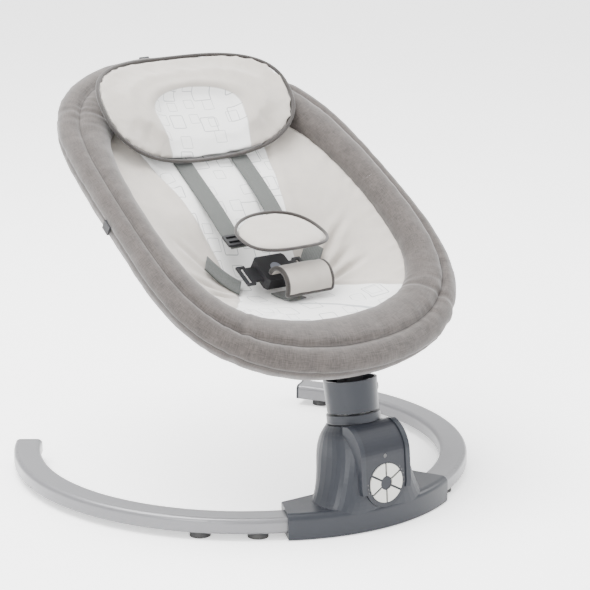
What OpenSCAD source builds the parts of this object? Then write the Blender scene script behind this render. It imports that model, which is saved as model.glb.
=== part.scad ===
// Electric baby swing: a C-shaped floor base, a motor hub with a button panel, a leaning swing
// column and a reclining padded seat with a five-point harness. Millimetres, +Z up, foot end at -Y.

/* [Base] */
// Distance of the base ring's centre behind the middle of the whole swing
ring_y = 41.64; // [20:1:60]
// Radius of each base tube's centreline
ring_r = 280; // [250:1:320]
// How far each tube's arc centre sits across the middle
ring_split = 10; // [4:0.5:16]
// Width of the base tube
tube_w = 34.4; // [30:0.2:40]
// Height of the base tube
tube_h = 19; // [16:0.5:26]
// Wall of the base tube
tube_wall = 1.6; // [1:0.1:2.4]
// Radius of the tube's top edges
tube_edge_r = 6; // [2:0.5:8]
// Height of the rubber feet, which is the tube's clearance from the floor
foot_h = 8; // [5:0.5:12]
// Diameter of the rubber feet
foot_d = 25; // [18:0.5:30]
// Angle from the front at which a tube leaves the hub
mouth_deg = 25.4; // [24:0.1:28]
// Angle from the front at which a tube ends
tail_deg = 125.9; // [110:0.1:140]
// Angle of tube held inside the hub socket
socket_deg = 8; // [5:0.5:9]

/* [Hub] */
// Radius of the hub's front edge on the floor
hub_r = 238; // [225:1:260]
// Distance of the hub's front edge ahead of the ring's centre
hub_front = 305; // [300:1:312]
// Distance of the hub's flat back ahead of the ring's centre
hub_back = 229; // [222:1:234]
// Height of the hub's arms
hub_h = 31; // [29:0.5:36]
// Gap between the hub and the floor
hub_gap = 1; // [0.5:0.1:3]
// Wall of the hub's mouldings
hub_wall = 3; // [2:0.1:4]
// Half width of the electronics bay inside the hub
bay_half_w = 62; // [50:1:64]

/* [Button panel] */
// Distance of the button wheel's centre ahead of the ring's centre
wheel_front = 303.4; // [300:0.1:306]
// Height of the button wheel's centre
wheel_z = 56.7; // [50:0.1:62]
// Angle by which the panel leans back
panel_lean = 4; // [0:0.5:8]
// Half width of the panel beside the button wheel
panel_r = 29.5; // [28:0.5:33]
// Half width of the panel under the collar
panel_top_half = 28.5; // [27:0.5:31]
// Radius of the shoulder that the panel bends back over
shoulder_r = 36; // [35:1:40]
// Height above the wheel at which the shoulder starts
shoulder_start = 33; // [31:1:35]
// Thickness of the panel
panel_t = 2.5; // [2:0.1:3]
// Width of the raised ridge on each side of the panel
ridge_w = 7; // [5:0.5:9]
// How far the ridges stand in front of the panel
ridge_proud = 1.6; // [0.8:0.1:2.5]
// Radius of the button wheel
wheel_r = 23.5; // [22:0.1:24]
// Radius of the plain middle of the button wheel
wheel_hub_r = 8.5; // [7:0.1:10]
// Width of the rib between two buttons
wheel_rib = 2.6; // [2:0.1:3.5]
// Gap round each button
button_clear = 0.25; // [0.2:0.05:0.4]
// How far a button stands out of the panel
button_proud = 1.5; // [1.3:0.1:2]
// How far a button can be pressed
button_travel = 1.2; // [0.8:0.1:1.4]

/* [Swing column] */
// Distance of the collar's middle ahead of the ring's centre
collar_front = 239.2; // [236:0.1:243]
// Height of the collar's middle
collar_z = 122.9; // [118:0.1:128]
// Angle by which the swing axis leans back
axis_lean = 9.7; // [6:0.1:14]
// Diameter of the collar
collar_d = 65; // [60:0.5:70]
// Height of the collar
collar_h = 10; // [8:0.5:12]
// Gap between the collar and the turning sleeve
sleeve_gap = 2.6; // [1.5:0.1:4]
// Diameter of the sleeve at its top
sleeve_d = 65; // [62:0.5:70]
// Diameter of the sleeve at its bottom
sleeve_low_d = 62; // [58:0.5:66]
// Top of the sleeve, along the axis from the collar's middle
sleeve_top = 46; // [43:0.5:48]
// Wall of the sleeve
sleeve_wall = 3; // [2.5:0.1:4]
// Diameter of the steel spindle
spindle_d = 15; // [12:0.5:16]
// Running clearance of the spindle in its bearings
run_clear = 0.05; // [0.02:0.01:0.1]
// Outer diameter of the spindle bearings
bearing_d = 32; // [30:0.5:34]
// Width of the spindle bearings
bearing_w = 9; // [8:0.5:10]

/* [Drive] */
// Gear module
gear_module = 0.8; // [0.75:0.05:0.85]
// Teeth of the full circle of the sector gear
sector_teeth = 64; // [56:4:64]
// Teeth of the motor pinion
pinion_teeth = 16; // [16:1:18]
// Backlash between the two gears
gear_backlash = 0.25; // [0.15:0.05:0.35]
// Diameter of the drive motor
motor_d = 24; // [20:0.5:25]
// Length of the drive motor
motor_l = 26; // [20:0.5:28]

/* [Recline hinge] */
// Height of the recline pin, along the axis from the collar's middle
hinge_h = 58; // [56:0.5:60]
// Diameter of the recline pin
pin_d = 8; // [6:0.5:9]
// Width of the lug on the sleeve
lug_w = 24; // [18:0.5:26]
// Radius of the lug round the pin
lug_r = 10.5; // [9:0.5:11]
// Thickness of each ear of the seat carrier
ear_t = 7; // [5:0.5:8]
// Diameter of the recline button
release_d = 17; // [14:0.5:18]
// How far the recline button can be pressed
release_travel = 3; // [2:0.5:3.5]

/* [Seat] */
// Angle of the seat from level
seat_deg = 31.4; // [25:0.1:38]
// Distance of the seat's middle ahead of the ring's centre
seat_front = 32.2; // [28:0.1:36]
// Height of the seat's middle
seat_z = 342.6; // [338:0.1:350]
// Half width of the seat frame
frame_half_w = 187; // [175:1:200]
// Half length of the seat frame
frame_half_l = 242; // [240:0.5:244]
// Diameter of the seat frame tube
frame_d = 19; // [16:0.5:20]
// Wall of the seat frame tube
frame_wall = 1.5; // [1.2:0.1:2]
// Half width of the padded rim at the seat's sides
rim_side = 22.9; // [20:0.1:26]
// Extra half width of the rim at the foot end
rim_foot = 17.8; // [14:0.1:20]
// Extra half width of the rim at the head end
rim_head = 23.5; // [18:0.1:26]
// Half thickness of the padded rim
rim_q = 24.8; // [22:0.1:28]
// Depth of the seat sling at the back of the seat
sling_depth = 20; // [14:1:26]
// Extra depth of the sling where the child sits
hip_depth = 46; // [36:1:52]
// Thickness of the sling
sling_t = 5; // [3:0.5:7]

/* [Pads] */
// Width of the head cushion
cushion_w = 284; // [240:1:300]
// Length of the head cushion
cushion_l = 165; // [130:1:175]
// Thickness of the head cushion
cushion_t = 22; // [16:1:24]
// How far up the seat the head cushion lies
cushion_u = 172; // [165:1:180]
// Height of the head cushion off the seat's plane
cushion_b = 10.5; // [9:0.5:16]
// Angle of the head cushion to the seat's plane
cushion_tilt = 16; // [12:1:18]
// How far the head cushion's ends are lifted by the rim
cushion_bend = 27; // [25:1:34]
// Width of the belly pad
belly_w = 120; // [90:1:130]
// Length of the belly pad
belly_l = 92; // [70:1:96]
// Thickness of the belly pad
belly_t = 13; // [9:0.5:14]
// Width of the crotch pad
crotch_w = 66; // [50:1:72]
// Outer radius of the crotch pad's arch
crotch_r = 24; // [20:0.5:25]
// Thickness of the crotch pad
crotch_t = 7; // [5:0.5:8]

/* [Harness] */
// Width of the harness webbing
web_w = 25; // [20:0.5:28]
// Thickness of the harness webbing
web_t = 1.6; // [1.2:0.1:2]
// Width of the buckle
buckle_w = 46; // [42:1:52]
// Length of the buckle
buckle_l = 42; // [38:1:46]
// Thickness of the buckle
buckle_t = 16; // [14:0.5:18]
// Diameter of the buckle's release button
buckle_button_d = 14; // [12:0.5:16]
// Travel of the buckle's release button
buckle_travel = 2; // [1.5:0.1:2.5]

/* [Hidden] */
$fn = 64;
EPS = 0.01;
FIT = 0.25;                       // gap between fixed pieces that sit in each other
THIN = 0.03;                      // gap round a pressed ring or pin
BIG = 400;

// colours
C_SILVER = [0.78, 0.78, 0.80];
C_SLATE = [0.41, 0.43, 0.47];
C_DARK = [0.13, 0.13, 0.14];
C_BUTTON = [0.86, 0.86, 0.84];
C_STEEL = [0.62, 0.63, 0.65];
C_TAUPE = [0.50, 0.47, 0.45];
C_CREAM = [0.88, 0.86, 0.82];
C_WEB = [0.50, 0.53, 0.51];
C_BOARD = [0.10, 0.32, 0.20];

// feet: angles from the front along each tube
FOOT_DEGS = [32, 46, 120];
STEM_D = 6;
STEM_H = 4;

// hub column: [height, distance ahead, half width, half depth, share of the axis lean, squareness]
COLUMN = [
    [14, 267, 88, 35, 0, 2.6],
    [24, 267, 78, 37, 0, 2.7],
    [36, 265, 68, 39, 0.05, 2.8],
    [50, 262.5, 61.5, 40, 0.1, 2.8],
    [67, 258.5, 55.5, 43, 0.2, 2.8],
    [84, 253, 50, 46, 0.35, 2.7],
    [99, 249, 46, 43.5, 0.6, 2.5],
    [109, 245, 42, 38.5, 0.85, 2.2],
    [116.5, 240.5, 34, 34, 1, 2]
];
DC_X = 44;                        // the DC socket, across and up the back of the hub
DC_Z = 16;
SPEAKER_X = -38;
SPEAKER_Y = -262;
HUB_SCREWS = [[-52, -238], [52, -238], [-52, -283], [52, -283]];
RIDGE_DEEP = 22;                  // how deep the ridges' roots go into the column
COLUMN_LEVELS = 22;
COLUMN_SIDES = 44;

// stations along the swing axis, measured from the collar's middle
COLLAR_TOP = collar_h / 2;
SLEEVE_LOW = COLLAR_TOP + sleeve_gap;
BLOCK_TOP = COLLAR_TOP - 1;
BLOCK_LOW = -50;
SECTOR_TOP = BLOCK_LOW - 3;
SECTOR_T = 5;
WEB_LOW = SLEEVE_LOW + 4;
WEB_T = 6;
BLOCK_D = 44;                     // outside of the bearing block
MOTOR_TOP = SECTOR_TOP - SECTOR_T - 2.5;
SPINDLE_LOW = SECTOR_TOP - SECTOR_T - 8;
SPINDLE_TOP = WEB_LOW + 18;
RELEASE_H = 32;
SECTOR_HALF = 22;                 // half angle of the toothed part

// button wheel
BUTTON_STEP = 60;
PANEL_LOW = -48;
SHOULDER_BACK = 34;               // how far back the shoulder reaches
SHOULDER_ARC = acos(1 - SHOULDER_BACK / shoulder_r);
SHOULDER_STEPS = 14;
BUTTON_DEEP = 6;
BUTTON_LIP = 1;
BOARD_Z = -11.5;
BOARD_T = 1.6;
LED_D = 1.8;
LED_R = 26.6;
LED_DEGS = [176, 187, 199, 38, 27, 16, 4, -8];
IR_D = 5;

// seat frame curve
CURVE_N = 2.09;
CURVE_SKEW = -0.06;
CURVE_FULL = 0.34;
CURVE_SAG = -10.6;
JOIN_T = 6;                       // where the two frame tubes meet, below the seat's middle
RIM_STEPS = 72;
RIM_SIDES = 16;
TUNNEL_R = frame_d / 2 + 4;
JOINT_T = 1.6;                    // wall of the frame connectors
HIP_U = -75;                      // where the sling is deepest
HIP_SPREAD = 75;
SLING_MID = -60;
SLING_RINGS = 9;
SLING_SIDES = 48;
EDGE_GAP = 1.2;

// harness places in the seat's own frame: across, along the seat, and off the sling
SHOULDER_X = 42;
SHOULDER_TOP = 106;
STRAP_LOW = -44;
LAP_OUT = 82;                     // outer end of the lap straps, from the middle of the seat
LAP_RISE = 38;                    // how far up the seat a lap strap runs from its tongue
BUCKLE_U = -76;
BUCKLE_B = -50;
CROTCH_PAD = [14, -111, -29];    // foot of the arch: across, along and off the seat
BELLY_PAD = [4, -59, 8.5];       // middle of the belly pad
BELLY_TILT = -14;
BELLY_BEND = -6;
TONGUE_T = 3;
TONGUE_X = 48;
CROTCH_U = -132;
WEB_GAP = 2.6;
LAP_GAP = 5.5;
ADJUST_AT = 0.93;                 // where the adjusters sit, as a share of a shoulder strap
STRAP_LIFT = 30;                  // rise of the shoulder straps off the sling towards the belly pad

// ---------------------------------------------------------------- frames

// the ring's centre on the floor
module ring_frame() {
    translate([0, ring_y, 0]) children();
}

// a place on a base tube's centreline: x outwards, y along the tube away from the hub
module tube_frame(deg) {
    translate([-ring_split, 0, 0]) rotate([0, 0, deg - 90]) translate([ring_r, 0, 0]) children();
}

module side(s) {
    if (s > 0) children();
    else mirror([1, 0, 0]) children();
}

// z runs up the swing axis from the collar's middle
module axis_frame() {
    translate([0, -collar_front, collar_z]) rotate([-axis_lean, 0, 0]) children();
}

// z stands out of the button panel, y runs up it, from the button wheel's centre
module panel_frame() {
    translate([0, -wheel_front, wheel_z]) rotate([90 - panel_lean, 0, 0]) children();
}

// y runs up the seat towards the head, z stands off it
module seat_frame() {
    translate([0, -seat_front, seat_z]) rotate([seat_deg, 0, 0]) children();
}

// lays a side view (y, z) across the width w, centred on x = 0
module across(w) {
    rotate([90, 0, 90]) translate([0, 0, -w / 2]) linear_extrude(w) children();
}

function seat_to_ring(p) = [
    p[0],
    -seat_front + p[1] * cos(seat_deg) - p[2] * sin(seat_deg),
    seat_z + p[1] * sin(seat_deg) + p[2] * cos(seat_deg)
];

HINGE_Y = -collar_front + hinge_h * sin(axis_lean);
HINGE_Z = collar_z + hinge_h * cos(axis_lean);

// ---------------------------------------------------------------- sections and meshes

// section of the base tube, standing on y = 0
module tube_section(shrink) {
    w = tube_w - 2 * shrink;
    h = tube_h - 2 * shrink;
    rt = max(tube_edge_r - shrink, 0.6);
    rb = max(3 - shrink, 0.6);
    translate([0, shrink]) union() {
        for (s = [-1, 1]) {
            translate([s * (w / 2 - rt), h - rt]) circle(rt);
            translate([s * (w / 2 - rb), rb]) circle(rb);
        }
        translate([-w / 2, rb]) square([w, h - rt - rb]);
        translate([-w / 2 + rt, h - rt - EPS]) square([w - 2 * rt, rt + EPS]);
        translate([-w / 2 + rb, 0]) square([w - 2 * rb, rb + EPS]);
    }
}

// an arc of the base tube's section between two angles from the front
module tube_arc(from_deg, to_deg, shrink) {
    translate([-ring_split, 0, foot_h]) rotate([0, 0, from_deg - 90])
        rotate_extrude(angle = to_deg - from_deg) translate([ring_r, 0]) tube_section(shrink);
}

// closed skin over rings of points that turn anticlockwise and rise; the ends are capped
module skin(rings) {
    n = len(rings[0]);
    m = len(rings);
    pts = [for (r = rings) each r];
    walls = [for (i = [0:m - 2], j = [0:n - 1], k = [0, 1])
        let (a = i * n + j, b = i * n + (j + 1) % n)
        k == 0 ? [a, a + n, b] : [b, a + n, b + n]];
    low = [for (j = [0:n - 1]) j];
    high = [for (j = [n - 1:-1:0]) (m - 1) * n + j];
    polyhedron(points = pts, faces = concat(walls, [low], [high]), convexity = 6);
}

// closed skin over rings that come back to the first one
module loop_skin(rings) {
    n = len(rings[0]);
    m = len(rings);
    pts = [for (r = rings) each r];
    walls = [for (i = [0:m - 1], j = [0:n - 1], k = [0, 1])
        let (a = i * n + j, b = i * n + (j + 1) % n,
             c = ((i + 1) % m) * n + j, d = ((i + 1) % m) * n + (j + 1) % n)
        k == 0 ? [a, c, b] : [b, c, d]];
    polyhedron(points = pts, faces = walls, convexity = 6);
}

function sgn_pow(v, p) = sign(v) * pow(abs(v), p);

// smooth value between the rows of a table, u from 0 to len - 1
function row_at(t, i) = t[max(0, min(len(t) - 1, i))];
function smooth_row(t, u) =
    let (i = min(floor(u), len(t) - 2), f = u - i,
         a = row_at(t, i - 1), b = row_at(t, i), c = row_at(t, i + 1), d = row_at(t, i + 2))
    b + 0.5 * f * (c - a + f * (2 * a - 5 * b + 4 * c - d + f * (3 * (b - c) + d - a)));

function column_ring(row, inset) = [
    for (k = [0:COLUMN_SIDES - 1])
        let (t = 360 * k / COLUMN_SIDES, tilt = axis_lean * row[4],
             px = (row[2] - inset) * sgn_pow(cos(t), 2 / row[5]),
              py = (row[3] - inset) * sgn_pow(sin(t), 2 / row[5]))
        [px, -row[1] + py * cos(tilt), row[0] - py * sin(tilt)]
];

module column(inset, top_drop) {
    last = len(COLUMN) - 1 - top_drop;
    skin([for (i = [0:COLUMN_LEVELS]) column_ring(smooth_row(COLUMN, last * i / COLUMN_LEVELS), inset)]);
}

// ---------------------------------------------------------------- base

module base_tube(s) {
    ring_frame() side(s) color(C_SILVER) difference() {
        tube_arc(mouth_deg - socket_deg, tail_deg, 0);
        tube_arc(mouth_deg - socket_deg - 1, tail_deg + 1, tube_wall);
        for (a = FOOT_DEGS)
            tube_frame(a) cylinder(d = STEM_D + FIT, h = foot_h + STEM_H);
        tube_frame(mouth_deg - socket_deg / 2) cylinder(d = 4 + 2 * FIT, h = foot_h + STEM_H);
    }
}

module base_tube_left() { base_tube(-1); }
module base_tube_right() { base_tube(1); }

module tube_cap(s) {
    cap_t = 3;
    plug_l = 12;
    ring_frame() side(s) color(C_SLATE) tube_frame(tail_deg) translate([0, cap_t, foot_h]) {
        rotate([90, 0, 0]) linear_extrude(cap_t) tube_section(0);
        translate([0, -cap_t + EPS, 0]) rotate([90, 0, 0])
            linear_extrude(plug_l) tube_section(tube_wall + 4 * FIT);
    }
}

module tube_cap_left() { tube_cap(-1); }
module tube_cap_right() { tube_cap(1); }

module rubber_feet() {
    ring_frame() color(C_DARK) for (s = [-1, 1], a = FOOT_DEGS) side(s) tube_frame(a) union() {
        cylinder(d = foot_d, h = foot_h);
        cylinder(d = STEM_D, h = foot_h + STEM_H);
    }
}

// ---------------------------------------------------------------- hub

HUB_ARC_Y = -hub_front + hub_r;

module hub_outline(inset) {
    intersection() {
        translate([0, HUB_ARC_Y]) circle(hub_r - inset, $fn = 180);
        translate([-BIG / 2, -hub_front - 1]) square([BIG, hub_front + 1 - hub_back - inset]);
    }
}

module mouth_cut(inset) {
    for (s = [-1, 1]) side(s) tube_frame(mouth_deg) translate([-90, -inset, -1]) cube([180, 160, 80]);
}

// the arms, with their front edge rounded over
module hub_arms() {
    edge = 8;
    intersection() {
        translate([0, HUB_ARC_Y, hub_gap]) rotate([0, 0, -125]) rotate_extrude(angle = 70) union() {
            translate([120, 0]) square([hub_r - 120 - edge, hub_h]);
            translate([hub_r - edge - EPS, 0]) square([edge + EPS, hub_h - edge]);
            translate([hub_r - edge, hub_h - edge]) circle(edge);
        }
        translate([-BIG / 2, -hub_front - 1, 0]) cube([BIG, hub_front + 1 - hub_back, 60]);
    }
}

// side view of a plate t thick that stands proud of the panel's face: a leaning face that bends
// back over the shoulder. x is out of the panel, y up it
function panel_line(off) = concat(
    [[off, PANEL_LOW]],
    [for (i = [0:SHOULDER_STEPS]) let (a = SHOULDER_ARC * i / SHOULDER_STEPS, r = shoulder_r + off)
        [-shoulder_r + r * cos(a), shoulder_start + r * sin(a)]]);
function backwards(list) = [for (i = [len(list) - 1:-1:0]) list[i]];
module panel_side(proud, t) {
    polygon(concat(panel_line(proud), backwards(panel_line(proud - t))));
}

// front view of the panel, grown by g
module panel_face(g) {
    top = shoulder_start + shoulder_r + 10;
    circle(panel_r + g);
    polygon([[-panel_r - g, 0], [panel_r + g, 0], [panel_top_half + g, top], [-panel_top_half - g, top]]);
}

module panel_shell(proud, t, g) {
    intersection() {
        rotate([90, 0, 90]) translate([0, 0, -60]) linear_extrude(120)
            panel_flip() panel_side(proud, t);
        translate([0, 0, -60]) linear_extrude(80) panel_face(g);
    }
}

// side views are drawn with x out of the panel; across the width that is y up and z out
module panel_flip() {
    rotate(90) mirror([0, 1]) children();
}

module collar_cut(grow) {
    axis_frame() translate([0, 0, -COLLAR_TOP - grow]) cylinder(d = 120, h = 60);
}

module ridges() {
    panel_frame() intersection() {
        difference() {
            panel_shell(ridge_proud, RIDGE_DEEP, ridge_w);
            translate([0, 0, -60]) linear_extrude(80) panel_face(FIT);
        }
        translate([-60, -10, -60]) cube([120, 140, 80]);
    }
}

module bay(h) {
    linear_extrude(h) intersection() {
        hub_outline(hub_wall + 1);
        translate([-bay_half_w, -BIG]) square([2 * bay_half_w, BIG]);
    }
}

module hub_housing() {
    ring_frame() color(C_SLATE) difference() {
        union() {
            hub_arms();
            column(0, 0);
            ridges();
        }
        translate([0, 0, -10]) cube([BIG, BIG * 2, 20 + 2 * hub_gap], center = true);
        mouth_cut(0);
        collar_cut(0);
        // electronics bay and the hollow column above it
        translate([0, 0, hub_gap - 1]) bay(hub_h - hub_wall + 1);
        intersection() {
            column(hub_wall, 0.35);
            translate([-70, -BIG, 0]) cube([140, BIG, 150]);
        }
        // opening for the panel, and room for the buttons and the board behind it
        panel_frame() panel_shell(20, 20 + panel_t + FIT, FIT);
        panel_frame() translate([0, 0, -24]) linear_extrude(60) intersection() {
            panel_face(FIT);
            translate([-50, -50]) square([100, 50 + shoulder_start + IR_D]);
        }
        // mouth for the bearing block
        axis_frame() translate([0, 0, -30]) cylinder(d = BLOCK_D + 4 * FIT, h = 60);
        // sockets for the base tubes
        for (s = [-1, 1]) side(s) {
            tube_arc(mouth_deg - socket_deg - 0.2, mouth_deg + 2, -FIT);
            tube_frame(mouth_deg - socket_deg / 2) cylinder(d = 4 + 2 * FIT, h = foot_h + 1);
        }
        translate([DC_X, -hub_back - 10, DC_Z]) rotate([-90, 0, 0]) cylinder(d = 10 + 2 * FIT, h = 20);
    }
}

module hub_bottom_cover() {
    ring_frame() color(C_SLATE) difference() {
        translate([0, 0, hub_gap]) linear_extrude(2.2) intersection() {
            hub_outline(hub_wall + 1 + FIT);
            translate([-bay_half_w + FIT, -BIG]) square([2 * (bay_half_w - FIT), BIG]);
        }
        for (p = HUB_SCREWS) translate([p[0], p[1], 0]) cylinder(d = 3.4, h = 10);
        // speaker grille
        for (i = [-3:3]) translate([SPEAKER_X + i * 5 - 1, SPEAKER_Y - 13, 0]) cube([2, 26, 10]);
    }
}

module hub_screws() {
    ring_frame() color(C_STEEL) {
        for (p = HUB_SCREWS) translate([p[0], p[1], hub_gap + 2.2]) union() {
            cylinder(d = 6, h = 1.8);
            translate([0, 0, -2]) cylinder(d = 3, h = 3);
        }
        for (s = [-1, 1]) side(s) tube_frame(mouth_deg - socket_deg / 2) union() {
            translate([0, 0, foot_h + tube_wall + FIT]) cylinder(d = 7, h = 2);
            translate([0, 0, hub_gap + 1]) cylinder(d = 4, h = foot_h + tube_wall);
        }
    }
}

// ---------------------------------------------------------------- panel and electronics

module wedge(k, g) {
    a = k * BUTTON_STEP;
    difference() {
        intersection() {
            circle(wheel_r + g);
            rotate(a - BUTTON_STEP / 2) translate([0, wheel_rib / 2 - g]) square(BIG);
            rotate(a + BUTTON_STEP / 2) translate([0, -wheel_rib / 2 + g]) mirror([0, 1]) square(BIG);
        }
        circle(wheel_hub_r - g);
    }
}

module front_panel() {
    ring_frame() color(C_SLATE) difference() {
        union() {
            panel_frame() panel_shell(0, panel_t, 0);
            panel_frame() for (x = [-19.5, 19.5], y = [-19.5, 27])
                translate([x, y, BOARD_Z]) cylinder(d = 3, h = -BOARD_Z - panel_t / 2);
        }
        collar_cut(FIT);
        panel_frame() {
            for (k = [0:5]) translate([0, 0, -panel_t - 1]) linear_extrude(10) wedge(k, button_clear);
            for (a = LED_DEGS) rotate([0, 0, a]) translate([LED_R, 0, -8]) cylinder(d = LED_D + 0.2, h = 12);
            translate([0, shoulder_start, -8]) cylinder(d = IR_D + 0.3, h = 16);
        }
    }
}

module button(k) {
    ring_frame() color(C_BUTTON) panel_frame() union() {
        translate([0, 0, -BUTTON_DEEP]) linear_extrude(BUTTON_DEEP + button_proud) wedge(k, 0);
        translate([0, 0, -BUTTON_DEEP]) linear_extrude(BUTTON_DEEP - panel_t - 0.3) wedge(k, BUTTON_LIP);
    }
}

module button_1() { button(0); }
module button_2() { button(1); }
module button_3() { button(2); }
module button_4() { button(3); }
module button_5() { button(4); }
module button_6() { button(5); }

module led_lights() {
    ring_frame() color(C_DARK) panel_frame() for (a = LED_DEGS)
        rotate([0, 0, a]) translate([LED_R, 0, -6]) cylinder(d = LED_D, h = 6.2);
}

module ir_window() {
    ring_frame() color(C_DARK) panel_frame() translate([0, shoulder_start, -6]) cylinder(d = IR_D, h = 6.1);
}

module control_board() {
    ring_frame() color(C_BOARD) panel_frame() union() {
        translate([-26, -26, BOARD_Z - BOARD_T]) cube([52, 57, BOARD_T - 2 * THIN]);
        for (k = [0:5]) rotate([0, 0, k * BUTTON_STEP])
            translate([wheel_r - 10.5, -3, BOARD_Z - 1])
                cube([6, 6, -BUTTON_DEEP - button_travel - BOARD_Z + 0.7]);
        translate([-20, -24, BOARD_Z - BOARD_T - 4]) cube([12, 10, 4.5]);
    }
}

module speaker() {
    ring_frame() color(C_DARK) translate([SPEAKER_X, SPEAKER_Y, hub_gap + 2.2 + FIT]) union() {
        cylinder(d = 34, h = 3);
        cylinder(d1 = 30, d2 = 18, h = 10);
        translate([0, 0, 9]) cylinder(d = 20, h = 5);
    }
}

module dc_jack() {
    ring_frame() color(C_DARK) translate([DC_X, -hub_back, DC_Z]) rotate([90, 0, 0]) difference() {
        union() {
            translate([0, 0, -0.5]) cylinder(d = 10, h = 14);
            translate([0, 0, hub_wall + 1 + FIT]) cylinder(d = 13, h = 2);
        }
        difference() {
            translate([0, 0, -1]) cylinder(d = 6, h = 11);
            translate([0, 0, -1]) cylinder(d = 2, h = 11);
        }
    }
}

// ---------------------------------------------------------------- swing column

module collar_ring() {
    ring_frame() color(C_SLATE) axis_frame() difference() {
        translate([0, 0, -COLLAR_TOP]) cylinder(d = collar_d, h = collar_h);
        translate([0, 0, -COLLAR_TOP - 1]) cylinder(d = BLOCK_D + 4 * FIT, h = collar_h + 2);
    }
}

module bearing_block() {
    ring_frame() color(C_STEEL) axis_frame() difference() {
        translate([0, 0, BLOCK_LOW]) cylinder(d = BLOCK_D, h = BLOCK_TOP - BLOCK_LOW);
        translate([0, 0, BLOCK_LOW - 1]) cylinder(d = bearing_d - 6, h = BLOCK_TOP - BLOCK_LOW + 2);
        translate([0, 0, BLOCK_TOP - bearing_w]) cylinder(d = bearing_d + 2 * THIN, h = bearing_w + 1);
        translate([0, 0, BLOCK_LOW - 1]) cylinder(d = bearing_d + 2 * THIN, h = bearing_w + 1);
    }
}

module bearing(z) {
    groove = bearing_d / 4 + spindle_d / 4;
    ring_frame() color(C_STEEL) axis_frame() translate([0, 0, z]) difference() {
        cylinder(d = bearing_d, h = bearing_w);
        translate([0, 0, -1]) cylinder(d = spindle_d + 2 * run_clear, h = bearing_w + 2);
        for (f = [-1, bearing_w - 1]) translate([0, 0, f]) difference() {
            cylinder(r = groove + 1.5, h = 2);
            translate([0, 0, -1]) cylinder(r = groove - 1.5, h = 4);
        }
    }
}

module bearing_upper() { bearing(BLOCK_TOP - bearing_w); }
module bearing_lower() { bearing(BLOCK_LOW); }

module spindle() {
    ring_frame() color(C_STEEL) axis_frame() union() {
        translate([0, 0, SPINDLE_LOW]) cylinder(d = spindle_d, h = SPINDLE_TOP - SPINDLE_LOW);
    }
}

// involute gear: pitch radius, base radius and the flank's half angle at radius r
function inv_deg(a) = tan(a) * 180 / PI - a;
function flank(r, rb, half) = half + inv_deg(20) - inv_deg(acos(min(1, rb / r)));
function tooth_side(teeth, s) =
    let (rp = gear_module * teeth / 2, rb = rp * cos(20), ra = rp + gear_module, rf = rp - 1.25 * gear_module,
         half = 90 / teeth - gear_backlash / 4 / rp * 180 / PI, r0 = max(rb, rf))
    [for (i = [0:5]) let (r = r0 + (ra - r0) * i / 5, a = s * flank(r, rb, half)) [r, a]];
function tooth(teeth, at) =
    let (rf = gear_module * (teeth / 2 - 1.25), l = tooth_side(teeth, -1), u = tooth_side(teeth, 1))
    [for (p = concat([[rf, l[0][1]]], l, [for (i = [5:-1:0]) u[i]], [[rf, u[0][1]]]))
        [p[0] * cos(p[1] + at), p[0] * sin(p[1] + at)]];

SECTOR_RP = gear_module * sector_teeth / 2;
PINION_RP = gear_module * pinion_teeth / 2;
GEAR_DIST = SECTOR_RP + PINION_RP;

module sector_gear() {
    step = 360 / sector_teeth;
    count = floor(SECTOR_HALF / step);
    teeth = [for (i = [-count:count]) each tooth(sector_teeth, i * step)];
    ring_frame() color(C_BUTTON) axis_frame() translate([0, 0, SECTOR_TOP - SECTOR_T]) difference() {
        union() {
            linear_extrude(SECTOR_T) polygon(concat([[0, 0]], teeth));
            cylinder(d = 26, h = SECTOR_T);
        }
        translate([0, 0, -1]) cylinder(d = spindle_d + 2 * THIN, h = SECTOR_T + 2);
    }
}

module motor_pinion() {
    step = 360 / pinion_teeth;
    teeth = [for (i = [0:pinion_teeth - 1]) each tooth(pinion_teeth, 180 + (i + 0.5) * step)];
    ring_frame() color(C_BUTTON) axis_frame() translate([GEAR_DIST, 0, SECTOR_TOP - SECTOR_T - 1]) union() {
        linear_extrude(SECTOR_T + 1) polygon(teeth);
        translate([0, 0, -10]) cylinder(d = 3, h = 11);
    }
}

module drive_motor() {
    ring_frame() color(C_STEEL) axis_frame() translate([GEAR_DIST, 0, MOTOR_TOP - motor_l]) difference() {
        union() {
            cylinder(d = motor_d, h = motor_l);
            cylinder(d = 8, h = motor_l + 0.8);
        }
        translate([0, 0, motor_l - 12]) cylinder(d = 3 + 2 * run_clear, h = 20);
    }
}

module motor_bracket() {
    ring_frame() color(C_DARK) difference() {
        intersection() {
            axis_frame() translate([GEAR_DIST, 0, MOTOR_TOP - motor_l - 40])
                cylinder(d = motor_d + 5, h = 52);
            translate([-BIG, -BIG, hub_gap + 2.2 + FIT]) cube([2 * BIG, 2 * BIG, 100]);
        }
        axis_frame() translate([GEAR_DIST, 0, MOTOR_TOP - motor_l]) cylinder(d = motor_d + 2 * THIN, h = 60);
    }
}

module spindle_nut() {
    ring_frame() color(C_STEEL) axis_frame() translate([0, 0, SPINDLE_LOW + 1]) difference() {
        cylinder(d = 24, h = 6, $fn = 6);
        translate([0, 0, -1]) cylinder(d = spindle_d + 2 * THIN, h = 8);
    }
}

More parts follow.
